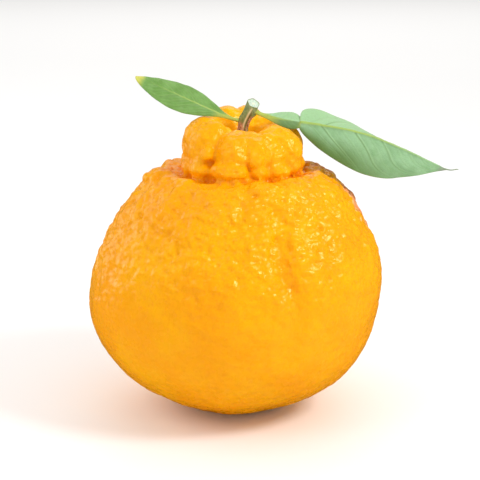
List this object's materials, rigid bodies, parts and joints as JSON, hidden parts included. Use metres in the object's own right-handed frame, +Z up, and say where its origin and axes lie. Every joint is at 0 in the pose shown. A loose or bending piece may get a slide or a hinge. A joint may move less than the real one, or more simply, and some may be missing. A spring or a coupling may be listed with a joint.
{
  "type": "mandarin orange",
  "caption": "Necked mandarin orange with a knobbly collar, calyx, short cut stalk, a small leaf and a larger leaf on a winged petiole, resting on a flat spot.",
  "frame": {"origin": "middle of the flat spot that the fruit rests on", "axes": "+Z up through the fruit towards its stalk, +X towards the larger leaf, -Y the fruit's front"},
  "size_m": [0.1182, 0.0929, 0.1085],
  "materials": {
    "rind": "orange rind, waxy sheen, pebbled oil glands",
    "calyx": "dry green calyx, matt",
    "bark": "green twig with pale ribs and corky brown streaks",
    "leaf": "green leaf, soft sheen",
    "leaf_underside": "pale matt leaf underside with raised veins"
  },
  "bodies": {
    "root": {"fruit": "rind", "calyx": "calyx", "stalk": "bark", "small_leaf": "leaf", "winged_petiole": "leaf", "large_leaf": "leaf_underside"}
  },
  "joints": []
}
